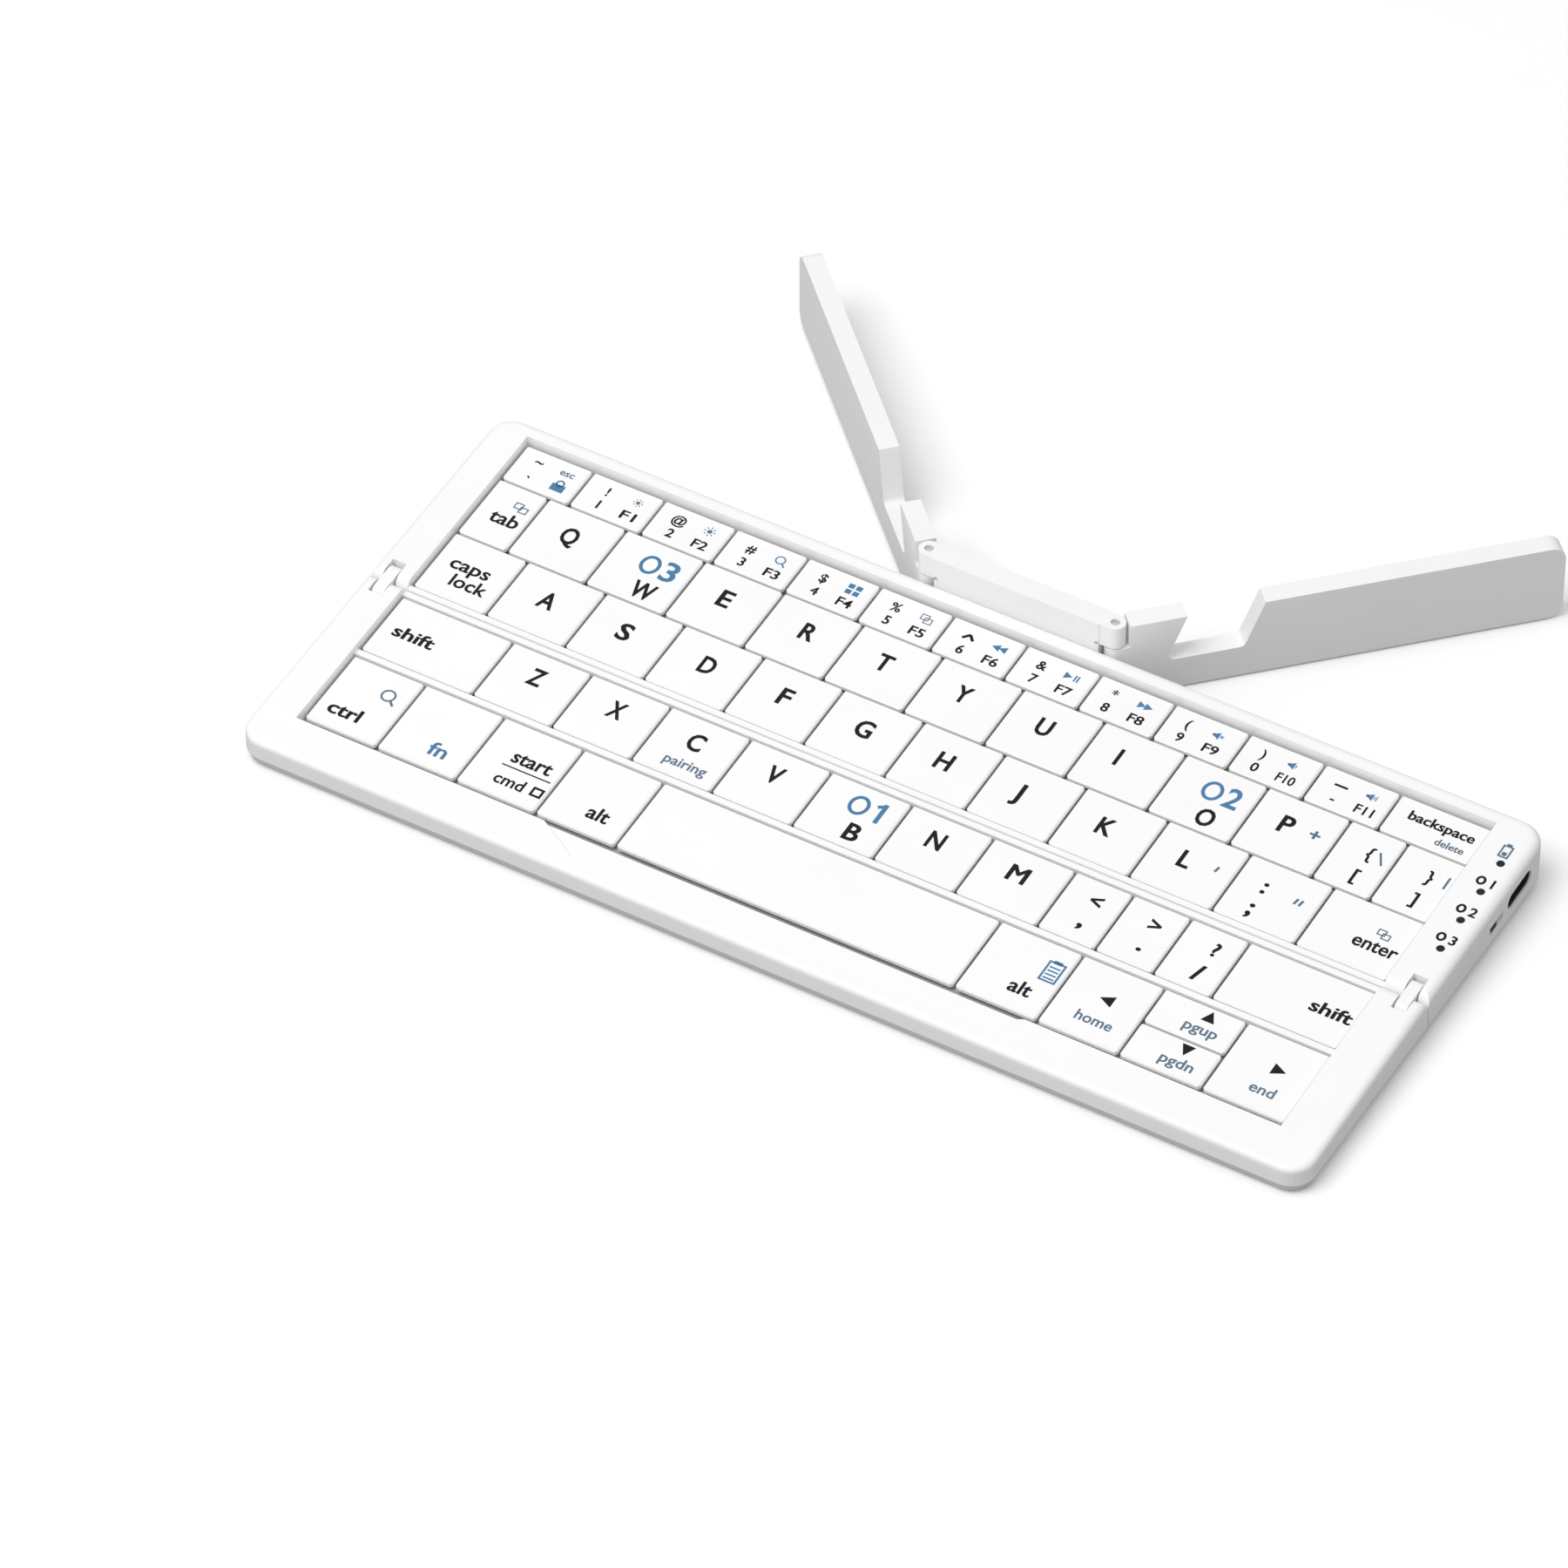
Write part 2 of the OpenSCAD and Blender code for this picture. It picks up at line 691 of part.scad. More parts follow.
module side_plugs(side) color("white") {
    for (x = [-1, 1]) deck() translate([x * (case_w / 2 - plug_len / 2), side * plug_v, plug_h])
        rotate([0, 90, 0]) cylinder(r = plug_r, h = plug_len, center = true);
}
module side_plugs_back() side_plugs(1);
module side_plugs_front() side_plugs(-1);

// ---------- stand ----------

barrel_r = leg_t / 2;
knuckle_z0 = stand_z + (stand_h - stand_z - knuckle_h) / 2 - 0.4;
knuckle_z1 = knuckle_z0 + knuckle_h;
plate_u = barrel_r + swing_clear;      // where a flat plate may start beside a barrel

// The two outer knuckles of one hinge, round the pin of the right or left leg
module bracket_knuckles(x) {
    for (z = [[stand_z, knuckle_z0 - swing_clear / 2], [knuckle_z1 + swing_clear / 2, stand_h]])
        translate([x * hinge_span / 2, hinge_y, z[0]]) {
            cylinder(r = barrel_r, h = z[1] - z[0]);
            translate([x > 0 ? -plate_u - 0.1 : 0, -barrel_r, 0])
                cube([plate_u + 0.1, 2 * barrel_r, z[1] - z[0]]);
        }
}

dot_x = 17;
dot_z = 13;
dot_r = 0.5;
dot_d = 0.8;
module stand_bracket() color("whitesmoke") difference() {
    union() {
        translate([-hinge_span / 2 + plate_u, back_y, stand_z])
            cube([hinge_span - 2 * plate_u, bracket_t, stand_h - stand_z]);
        bracket_knuckles(-1);
        bracket_knuckles(1);
    }
    for (x = [-1, 1]) translate([x * hinge_span / 2, hinge_y, 0])
        cylinder(r = leg_pin_r + seat_clear, h = stand_h + 1);
    for (i = [-1:1]) translate([i * screw_x, back_y, screw_z]) rotate([-90, 0, 0]) {
        translate([0, 0, -1]) cylinder(r = screw_r + seat_clear, h = bracket_t + 2);
        translate([0, 0, bracket_t - screw_head_t - 0.1])
            cylinder(r = screw_head_r + seat_clear, h = over);
    }
    for (x = [-1, 1]) translate([x * dot_x, back_y - 1, dot_z]) rotate([-90, 0, 0])
        cylinder(r = dot_r, h = 1 + dot_d);
}

module bracket_screws() color("silver") for (i = [-1:1])
    translate([i * screw_x, back_y + bracket_t - 0.1, screw_z]) rotate([90, 0, 0]) {
        difference() {
            cylinder(r = screw_head_r, h = screw_head_t);
            for (a = [0, 90]) rotate(a) translate([-0.9, -0.2, -1]) cube([1.8, 0.4, 1.35]);
        }
        translate([0, 0, screw_head_t - 0.1])
            cylinder(r = screw_r, h = screw_len - screw_head_t - 0.3);
    }

// Side view of a leg: u runs out from the hinge, z up
tip_r = 3;
module leg_outline() {
    h = stand_h - stand_z;
    difference() {
        union() {
            translate([plate_u, 0]) square([leg_len - plate_u - tip_r, h]);
            translate([plate_u, tip_r]) square([leg_len - plate_u, h - 2 * tip_r]);
            for (z = [tip_r, h - tip_r]) translate([leg_len - tip_r, z]) circle(tip_r);
        }
        translate([slot_u, slot_z - stand_z]) slot_outline(1.2 * (h - slot_z + stand_z));
    }
}

// The device slot: leaning sides, and rounded corners where they meet its floor
slot_r = 1.2;
module slot_outline(rise) {
    s = sin(slot_lean);
    c = cos(slot_lean);
    u0 = slot_r * (1 + s) / c;
    u1 = slot_len - slot_r * (1 - s) / c;
    for (u = [u0, u1]) translate([u, slot_r]) circle(slot_r);
    polygon([[u0, 0], [u1, 0], [u1 + slot_r * c, slot_r * (1 - s)],
             [slot_len + rise * s / c, rise], [rise * s / c, rise],
             [u0 - slot_r * c, slot_r * (1 + s)]]);
}

// A leg laid along +X from its hinge pin, its inner face towards the case
module flat_leg() difference() {
    union() {
        translate([0, leg_t / 2, stand_z]) rotate([90, 0, 0]) linear_extrude(leg_t) leg_outline();
        translate([0, 0, knuckle_z0 + swing_clear / 2])
            cylinder(r = barrel_r, h = knuckle_h - swing_clear);
        translate([0, -leg_t / 2, knuckle_z0 + swing_clear / 2])
            cube([plate_u + 0.1, leg_t, knuckle_h - swing_clear]);
    }
    cylinder(r = leg_pin_r + slide_clear, h = stand_h + 1);
}

module leg_right() color("whitesmoke")
    translate([hinge_span / 2, hinge_y, 0]) rotate(leg_open) flat_leg();
module leg_left() mirror([1, 0, 0]) leg_right();

module leg_pins() color("silver") for (x = [-1, 1])
    translate([x * hinge_span / 2, hinge_y, stand_z + 0.4])
        cylinder(r = leg_pin_r, h = stand_h - stand_z - 0.8);

module feet_back() color("lightgray") feet_at(back_feet);
module feet_front() color("lightgray") feet_at(front_feet);

// ---------- nodes ----------

back_housing();
back_cover();
back_plate();
back_sheet();
circuit_board();
battery();
usb_socket();
power_slider();
indicator_lenses();
front_housing();
front_cover();
front_plate();
front_sheet();
fold_link_left();
fold_link_right();
fold_pins_back();
fold_pins_front();
side_plugs_back();
side_plugs_front();
stand_bracket();
bracket_screws();
leg_left();
leg_right();
leg_pins();
feet_back();
feet_front();
number_keys();
edge_keys();
punctuation_back();
key(2, 11);  // key_enter
key(1, 1);  // key_q
key(1, 2);  // key_w
key(1, 3);  // key_e
key(1, 4);  // key_r
key(1, 5);  // key_t
key(1, 6);  // key_y
key(1, 7);  // key_u
key(1, 8);  // key_i
key(1, 9);  // key_o
key(1, 10);  // key_p
key(2, 1);  // key_a
key(2, 2);  // key_s
key(2, 3);  // key_d
key(2, 4);  // key_f
key(2, 5);  // key_g
key(2, 6);  // key_h
key(2, 7);  // key_j
key(2, 8);  // key_k
key(2, 9);  // key_l
key(3, 1);  // key_z
key(3, 2);  // key_x
key(3, 3);  // key_c
key(3, 4);  // key_v
key(3, 5);  // key_b
key(3, 6);  // key_n
key(3, 7);  // key_m
key(4, 4);  // key_space
punctuation_front();
bottom_keys();
arrow_keys();
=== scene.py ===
# %% [markdown]
# # A folding keyboard on a white table
# The keyboard lies open: a back half and a front half on two small fold links, 60 flat
# keys, and a stand with two legs behind it. Its solids come from CAD and stay as they
# are. Here they get a camera, a floor and a lamp, then their finishes, and last the
# printing on the keys and the rim, which is too fine for the CAD.

# %% Load the frame
import json
import math

import bmesh
import bpy
from mathutils import Matrix, Vector


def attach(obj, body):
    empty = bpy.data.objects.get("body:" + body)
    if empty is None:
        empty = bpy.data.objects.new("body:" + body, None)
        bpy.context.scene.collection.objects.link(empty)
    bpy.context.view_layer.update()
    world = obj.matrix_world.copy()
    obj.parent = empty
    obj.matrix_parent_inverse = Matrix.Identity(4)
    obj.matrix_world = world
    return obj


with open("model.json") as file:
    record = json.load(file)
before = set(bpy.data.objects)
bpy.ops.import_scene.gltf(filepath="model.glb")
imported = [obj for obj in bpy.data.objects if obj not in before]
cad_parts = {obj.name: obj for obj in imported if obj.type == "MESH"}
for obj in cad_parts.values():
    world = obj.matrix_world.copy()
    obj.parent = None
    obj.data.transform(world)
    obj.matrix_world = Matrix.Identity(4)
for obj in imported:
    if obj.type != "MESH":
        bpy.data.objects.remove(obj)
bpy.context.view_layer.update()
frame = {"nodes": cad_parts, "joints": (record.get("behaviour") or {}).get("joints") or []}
mm = 0.001

# %% [markdown]
# ## The deck frame
# The top of the case slopes up to the back, so everything on it is easier to place in a
# frame of its own: x to the right, v up the slope from the split, h straight out of the
# top. Measuring it from the joints is safer than repeating angles: a key moves straight
# down into the deck, and the two fold axes lie on both sides of the split, a little under
# its top.

# %% Find the deck frame
JOINTS = {joint["name"]: joint for joint in frame["joints"]}
down = Vector(JOINTS["press_q"]["axis"])
pivots = [Vector(JOINTS[name]["pos_m"]) for name in ("fold_back", "fold_front")]
pivot_depth = 2.15 * mm
tilt = math.atan2(down.y, -down.z)
deck_origin = (pivots[0] + pivots[1]) / 2 - pivot_depth * down
DECK = Matrix.Translation(deck_origin) @ Matrix.Rotation(tilt, 4, "X")
print("deck tilt", round(math.degrees(tilt), 2),
      "origin", tuple(round(c, 5) for c in deck_origin))

# %% [markdown]
# ## Where the keys are
# Rows of a keyboard are staggered, but each row is only a list of widths from one common
# left edge. With the widths at hand, any key of these four rows is found by its row and
# number. The bottom row has too few legends to need it.

# %% Key rows, in millimetres of the deck frame
field_left = -102.7
key_pitch = 17
number_pitch = 15.555
small_pitch = 11.9
key_top = -1.5
ROW_WIDTHS = {
    "number": [14.8] + [number_pitch] * 11,
    "q": [10.9] + [key_pitch] * 10 + [11.75],
    "a": [15.9] + [key_pitch] * 10,
    "z": [24.2] + [key_pitch] * 7 + [small_pitch] * 3,
}


def key_left(row, number):
    """Left edge of a key's cell."""
    return field_left + sum(ROW_WIDTHS[row][:number])


# %% [markdown]
# ## The camera
# The photograph was taken with a long lens from the right of the front, well above. The
# angles and the distance come from fitting a pinhole camera to the corners of the keys.
# A camera looks along its own -Z, so its axes are the columns of its turn.

# %% Camera
azimuth, elevation = math.radians(30.2476), math.radians(44.5089)
camera_distance = 1884.6 * mm
image_plane_shift = (-40.67 * mm, 25.47 * mm)
fit_origin = Vector((-70.03, -30.73, 8.01)) * mm
to_camera = Vector((math.sin(azimuth) * math.cos(elevation),
                    -math.cos(azimuth) * math.cos(elevation), math.sin(elevation)))
cam_right = (-to_camera).cross(Vector((0, 0, 1))).normalized()
cam_up = to_camera.cross(cam_right)

camera_data = bpy.data.cameras.new("camera")
camera_data.lens = 234.278
camera_data.sensor_width = 36
camera_data.clip_end = 20
camera = bpy.data.objects.new("camera", camera_data)
bpy.context.scene.collection.objects.link(camera)
turn = Matrix((cam_right, cam_up, to_camera)).transposed().to_4x4()
place = (fit_origin + to_camera * camera_distance
         - cam_right * image_plane_shift[0] - cam_up * image_plane_shift[1])
camera.matrix_world = Matrix.Translation(place) @ turn
bpy.context.scene.camera = camera
print("camera at", tuple(round(c, 3) for c in place))

# %% [markdown]
# ## Floor and light
# A white object on a white floor only shows its shape where its faces catch different
# amounts of light. Here the top faces are white, the front faces light grey and the right
# faces darker still. A strong even world makes the base level, and one big soft lamp, high
# at the front left, gives that order. A white floor would bounce so much light up that the
# upright faces came out nearly white, so only the camera sees it white (see "Dress the
# solids").

# %% Floor
floor_reach = 6
floor_mesh = bpy.data.meshes.new("floor")
floor_shape = bmesh.new()
bmesh.ops.create_grid(floor_shape, x_segments=1, y_segments=1, size=floor_reach)
floor_shape.to_mesh(floor_mesh)
floor_shape.free()
floor = bpy.data.objects.new("floor", floor_mesh)
bpy.context.scene.collection.objects.link(floor)
print("floor:", 2 * floor_reach, "m")

# %% Lamp
lamp_place = Vector((-0.35, -0.75, 1.65))
lamp_data = bpy.data.lights.new("ceiling_lamp", "AREA")
lamp_data.size = 1.1
lamp_data.energy = 18.5
lamp = bpy.data.objects.new("ceiling_lamp", lamp_data)
lamp.rotation_euler = (-lamp_place).to_track_quat("-Z", "Y").to_euler()
lamp.location = lamp_place
bpy.context.scene.collection.objects.link(lamp)
print("lamp at", tuple(lamp_place))

# %% [markdown]
# The world has two strengths: one lights the object, and the other, full white, is what
# the camera sees behind the floor and what glossy surfaces mirror.

# %% World
fill_strength, backdrop_strength = 0.6, 1
world = bpy.data.worlds.new("studio")
bpy.context.scene.world = world
world.use_nodes = True
world_nodes, world_links = world.node_tree.nodes, world.node_tree.links
world_nodes.clear()
choose = world_nodes.new("ShaderNodeMixShader")
for socket, strength in ((1, fill_strength), (2, backdrop_strength)):
    background = world_nodes.new("ShaderNodeBackground")
    background.inputs["Color"].default_value = (1, 1, 1, 1)
    background.inputs["Strength"].default_value = strength
    world_links.new(background.outputs["Background"], choose.inputs[socket])
seen = world_nodes.new("ShaderNodeLightPath")
either = world_nodes.new("ShaderNodeMath")
either.operation = "MAXIMUM"
world_links.new(seen.outputs["Is Camera Ray"], either.inputs[0])
world_links.new(seen.outputs["Is Glossy Ray"], either.inputs[1])
world_links.new(either.outputs["Value"], choose.inputs["Fac"])
world_output = world_nodes.new("ShaderNodeOutputWorld")
world_links.new(choose.outputs["Shader"], world_output.inputs["Surface"])
bpy.context.scene.view_settings.view_transform = "Standard"
print("world", fill_strength, backdrop_strength)

# %% [markdown]
# ## Finishes
# Injection-moulded plastic is not smooth: the mould is spark-eroded, which leaves a fine
# even grain, and the plastic itself varies a little in tone. One node group makes both,
# and every moulded part uses it with values of its own.


# %% The moulded grain, as a node group
def new_group(name, inputs, outputs):
    """A shader node group with named sockets, and its input and output nodes."""
    group = bpy.data.node_groups.new(name, "ShaderNodeTree")
    for label, kind, value in inputs:
        socket = group.interface.new_socket(label, in_out="INPUT", socket_type=kind)
        if value is not None:
            socket.default_value = value
    for label, kind in outputs:
        group.interface.new_socket(label, in_out="OUTPUT", socket_type=kind)
    return group, group.nodes.new("NodeGroupInput"), group.nodes.new("NodeGroupOutput")


def noise(tree, vector, scale, detail):
    """A noise texture; scale is a socket or a number of waves a metre."""
    node = tree.nodes.new("ShaderNodeTexNoise")
    node.inputs["Detail"].default_value = detail
    tree.links.new(vector, node.inputs["Vector"])
    if isinstance(scale, (int, float)):
        node.inputs["Scale"].default_value = scale
    else:
        tree.links.new(scale, node.inputs["Scale"])
    return node.outputs["Fac"]


def between(tree, mask, low, high):
    """A value that runs from low to high as mask runs over the middle of a noise."""
    node = tree.nodes.new("ShaderNodeMapRange")
    node.inputs["From Min"].default_value = 0.3
    node.inputs["From Max"].default_value = 0.7
    tree.links.new(mask, node.inputs["Value"])
    for label, value in (("To Min", low), ("To Max", high)):
        if isinstance(value, (int, float)):
            node.inputs[label].default_value = value
        else:
            tree.links.new(value, node.inputs[label])
    return node.outputs["Result"]


FLOAT, COLOUR, VECTOR = "NodeSocketFloat", "NodeSocketColor", "NodeSocketVector"
moulded, given, result = new_group(
    "Moulded Grain",
    [("Vector", VECTOR, None), ("Colour", COLOUR, (0.9, 0.9, 0.9, 1)),
     ("Shade", COLOUR, (0.85, 0.85, 0.85, 1)), ("Grain Scale", FLOAT, 2500.0),
     ("Roughness Low", FLOAT, 0.4), ("Roughness High", FLOAT, 0.5)],
    [("Colour", COLOUR), ("Roughness", FLOAT), ("Height", FLOAT)])
cloud_scale = 60
grain = noise(moulded, given.outputs["Vector"], given.outputs["Grain Scale"], 3)
cloud = noise(moulded, given.outputs["Vector"], cloud_scale, 4)
tone = moulded.nodes.new("ShaderNodeMix")
tone.data_type = "RGBA"
moulded.links.new(between(moulded, cloud, 0.0, 1.0), tone.inputs["Factor"])
moulded.links.new(given.outputs["Colour"], tone.inputs[6])
moulded.links.new(given.outputs["Shade"], tone.inputs[7])
moulded.links.new(tone.outputs[2], result.inputs["Colour"])
moulded.links.new(between(moulded, cloud, given.outputs["Roughness Low"],
                          given.outputs["Roughness High"]), result.inputs["Roughness"])
moulded.links.new(grain, result.inputs["Height"])
print("group", moulded.name)


# %% Make a finish from the group
grain_depth = 0.02 * mm


def moulded_finish(name, colour, shade, scale=2500, rough=(0.42, 0.5), metallic=0.0,
                   bump=0.2, coat=0.0, gloss=0.5, stretch=(1, 1, 1)):
    """A Principled material of moulded grain, clouded between a colour and a shade of it."""
    material = bpy.data.materials.new(name)
    material.use_nodes = True
    tree = material.node_tree
    shader = tree.nodes["Principled BSDF"]
    shader.inputs["Metallic"].default_value = metallic
    shader.inputs["Coat Weight"].default_value = coat
    shader.inputs["Specular IOR Level"].default_value = gloss
    coordinates = tree.nodes.new("ShaderNodeTexCoord")
    mapping = tree.nodes.new("ShaderNodeMapping")
    mapping.inputs["Scale"].default_value = stretch
    tree.links.new(coordinates.outputs["Object"], mapping.inputs["Vector"])
    effect = tree.nodes.new("ShaderNodeGroup")
    effect.node_tree = moulded
    tree.links.new(mapping.outputs["Vector"], effect.inputs["Vector"])
    for label, value in (("Colour", (*colour, 1)), ("Shade", (*shade, 1)),
                         ("Grain Scale", scale), ("Roughness Low", rough[0]),
                         ("Roughness High", rough[1])):
        effect.inputs[label].default_value = value
    relief = tree.nodes.new("ShaderNodeBump")
    relief.inputs["Strength"].default_value = bump
    relief.inputs["Distance"].default_value = grain_depth
    tree.links.new(effect.outputs["Height"], relief.inputs["Height"])
    tree.links.new(effect.outputs["Colour"], shader.inputs["Base Color"])
    tree.links.new(effect.outputs["Roughness"], shader.inputs["Roughness"])
    tree.links.new(relief.outputs["Normal"], shader.inputs["Normal"])
    return material


def grey(value):
    """A colour without a hue."""
    return value, value, value


case_white = moulded_finish("case_white", grey(0.92), grey(0.9))
cover_white = moulded_finish("cover_white", grey(0.73), grey(0.71))
cap_white = moulded_finish("cap_white", grey(0.93), grey(0.91), scale=3200)
stand_white = moulded_finish("stand_white", grey(0.9), grey(0.88))
plug_white = moulded_finish("plug_white", grey(0.95), grey(0.93), scale=4000)
foot_rubber = moulded_finish("foot_rubber", grey(0.5), grey(0.44), scale=1800,
                             rough=(0.75, 0.9))
port_shell = moulded_finish("port_shell", grey(0.09), grey(0.06), scale=900,
                            rough=(0.35, 0.45), metallic=0.8)
lens_clear = moulded_finish("lens_clear", grey(0.008), grey(0.005), scale=5000,
                            rough=(0.2, 0.3), gloss=0.25, bump=0.02)
sheet_grey = moulded_finish("sheet_grey", (0.45, 0.46, 0.47), (0.4, 0.41, 0.42), scale=1500)
slider_black = moulded_finish("slider_black", (0.02, 0.02, 0.022), (0.014, 0.014, 0.016),
                              scale=3500, gloss=0.3)
board_green = moulded_finish("board_green", (0.02, 0.16, 0.07), (0.015, 0.12, 0.055),
                             scale=900, rough=(0.25, 0.35), coat=0.4)
cell_foil = moulded_finish("cell_foil", (0.6, 0.61, 0.62), (0.55, 0.56, 0.57), scale=500,
                           rough=(0.3, 0.4), metallic=0.7)
steel = moulded_finish("steel", (0.62, 0.62, 0.61), (0.54, 0.54, 0.53), scale=900,
                       rough=(0.28, 0.42), metallic=1.0, stretch=(1, 18, 18))
print("finishes:", len(bpy.data.materials))

# %% [markdown]
# ## Dress the solids
# A CAD node keeps its mesh and only gets a finish. The caps share one finish, so a loop
# over the names is enough.

# %% Give every CAD node its finish
NODE_FINISH = {
    "back_housing": case_white, "front_housing": case_white,
    "back_cover": cover_white, "front_cover": cover_white,
    "fold_link_left": case_white, "fold_link_right": case_white,
    "stand_bracket": stand_white, "leg_left": stand_white, "leg_right": stand_white,
    "side_plugs_back": plug_white, "side_plugs_front": plug_white,
    "back_plate": steel, "front_plate": steel, "usb_socket": port_shell,
    "fold_pins_back": steel, "fold_pins_front": steel, "leg_pins": steel,
    "bracket_screws": steel, "back_sheet": sheet_grey, "front_sheet": sheet_grey,
    "circuit_board": board_green, "battery": cell_foil, "power_slider": slider_black,
    "indicator_lenses": lens_clear, "feet_back": foot_rubber, "feet_front": foot_rubber,
}
for name, node in frame["nodes"].items():
    material = NODE_FINISH.get(name, cap_white)
    node.data.materials.clear()
    node.data.materials.append(material)
print("dressed:", len(frame["nodes"]))

# %% [markdown]
# The floor is white for the camera and a dull grey for every other ray.

# %% The floor's finish
floor_glow = 0.08
floor_grey = (*grey(0.38), 1)
floor_white = moulded_finish("floor_white", grey(0.93), grey(0.925), scale=40,
                             rough=(0.8, 0.9), bump=0.0)
floor_tree = floor_white.node_tree
floor_shader = floor_tree.nodes["Principled BSDF"]
floor_shader.inputs["Emission Color"].default_value = (1, 1, 1, 1)
floor_shader.inputs["Emission Strength"].default_value = floor_glow
floor_dim = floor_tree.nodes.new("ShaderNodeBsdfDiffuse")
floor_dim.inputs["Color"].default_value = floor_grey
floor_pick = floor_tree.nodes.new("ShaderNodeMixShader")
floor_tree.links.new(floor_tree.nodes.new("ShaderNodeLightPath").outputs["Is Camera Ray"],
                     floor_pick.inputs["Fac"])
floor_tree.links.new(floor_dim.outputs["BSDF"], floor_pick.inputs[1])
floor_tree.links.new(floor_shader.outputs["BSDF"], floor_pick.inputs[2])
floor_tree.links.new(floor_pick.outputs[0],
                     floor_tree.nodes["Material Output"].inputs["Surface"])
floor.data.materials.append(floor_white)
print("floor:", floor_white.name)

# %% [markdown]
# ## Printing
# Legends are a few hundredths of a millimetre of ink on flat caps. Text made as a curve
# can be turned into a mesh, and each key's printing is one thin mesh that rides on that
# key. The letters are built at a size of one metre and scaled down, because curve filling
# loses precision on very small outlines.

# %% Inks
INK_COLOURS = {"black": (0.006, 0.006, 0.007), "blue": (0.065, 0.18, 0.34),
               "slate": (0.1, 0.16, 0.23)}
INKS = {}
for ink, colour in INK_COLOURS.items():
    INKS[ink] = moulded_finish("ink_" + ink, colour, tuple(1.2 * c for c in colour),
                               scale=6000, rough=(0.5, 0.6), bump=0.05, gloss=0.15)
ink_height = 0.02
print("inks:", sorted(INKS))

# %% Letters as meshes
GLYPHS = {}


def glyph_mesh(text, weight):
    """The text as a closed thin mesh of unit size, centred left to right on its baseline."""
    if (text, weight) not in GLYPHS:
        curve = bpy.data.curves.new("letters", "FONT")
        curve.body = text
        curve.align_x = "CENTER"
        curve.offset = weight
        curve.extrude = 0.5
        curve.resolution_u = 3
        source = bpy.data.objects.new("letters", curve)
        bpy.context.scene.collection.objects.link(source)
        bpy.context.view_layer.update()
        shape = source.evaluated_get(bpy.context.evaluated_depsgraph_get())
        GLYPHS[text, weight] = bpy.data.meshes.new_from_object(shape)
        bpy.data.objects.remove(source)
        bpy.data.curves.remove(curve)
    return GLYPHS[text, weight]


def glyph_size(text, weight):
    """Left, right, low and high end of a text of unit size."""
    xs = [v.co.x for v in glyph_mesh(text, weight).vertices]
    ys = [v.co.y for v in glyph_mesh(text, weight).vertices]
    return min(xs), max(xs), min(ys), max(ys)


cap_line = glyph_size("H", 0.0)[3]
print("capital height at unit size", round(cap_line, 3))

# %% [markdown]
# Weight thickens the strokes of a letter. An outline can only be offset a little before it
# closes on itself, and three signs not at all, so the rest comes from two prints side by
# side. The second one stands a hair higher, so that no two faces share a plane.

# %% Put text on a page
most_offset_single, most_offset_word, no_offset = 0.02, 0.015, "M4*"
second_print_rise = 0.002


def merge(shape, part):
    """Moves part into shape and frees it."""
    mesh = bpy.data.meshes.new("part")
    part.to_mesh(mesh)
    part.free()
    shape.from_mesh(mesh)
    bpy.data.meshes.remove(mesh)


def add_text(shape, text, x, v, height, weight, width=None):
    """Adds text to a bmesh: x is its middle, v the middle of its capitals, in millimetres."""
    most_offset = most_offset_word if len(text) > 1 else most_offset_single
    offset = 0.0 if text in no_offset else min(weight, most_offset)
    spread = weight - offset
    low, high, _, _ = glyph_size(text, offset)
    tall = height / cap_line
    wide = width / (high - low + 2 * spread) if width else tall
    for shift in (-spread, spread) if spread else (0,):
        place = (Matrix.Translation((x + wide * (shift - (low + high) / 2), v - height / 2,
                                     second_print_rise * (shift > 0)))
                 @ Matrix.Diagonal((wide, tall, ink_height, 1)))
        part = bmesh.new()
        part.from_mesh(glyph_mesh(text, offset))
        bmesh.ops.remove_doubles(part, verts=part.verts, dist=1e-5)
        bmesh.ops.transform(part, matrix=place, verts=part.verts)
        merge(shape, part)


# %% [markdown]
# ### Small signs
# Triangles, rings and bars are enough for all the signs. A circle of three corners is a
# triangle, one of four a square. An inset of its face, with the middle taken out, leaves a
# ring.

# %% Signs as meshes
ink_rise = Vector((0, 0, ink_height))


def raise_ink(part, place):
    """Gives flat faces the ink's thickness and puts them in place."""
    flat = list(part.faces)
    grown = bmesh.ops.extrude_face_region(part, geom=flat)
    tops = [item for item in grown["geom"] if isinstance(item, bmesh.types.BMVert)]
    bmesh.ops.translate(part, vec=ink_rise, verts=tops)
    bmesh.ops.recalc_face_normals(part, faces=part.faces)
    bmesh.ops.transform(part, matrix=place, verts=part.verts)


TURN = {3: -math.pi / 2, 4: math.pi / 4}      # a triangle points right, a square lies flat


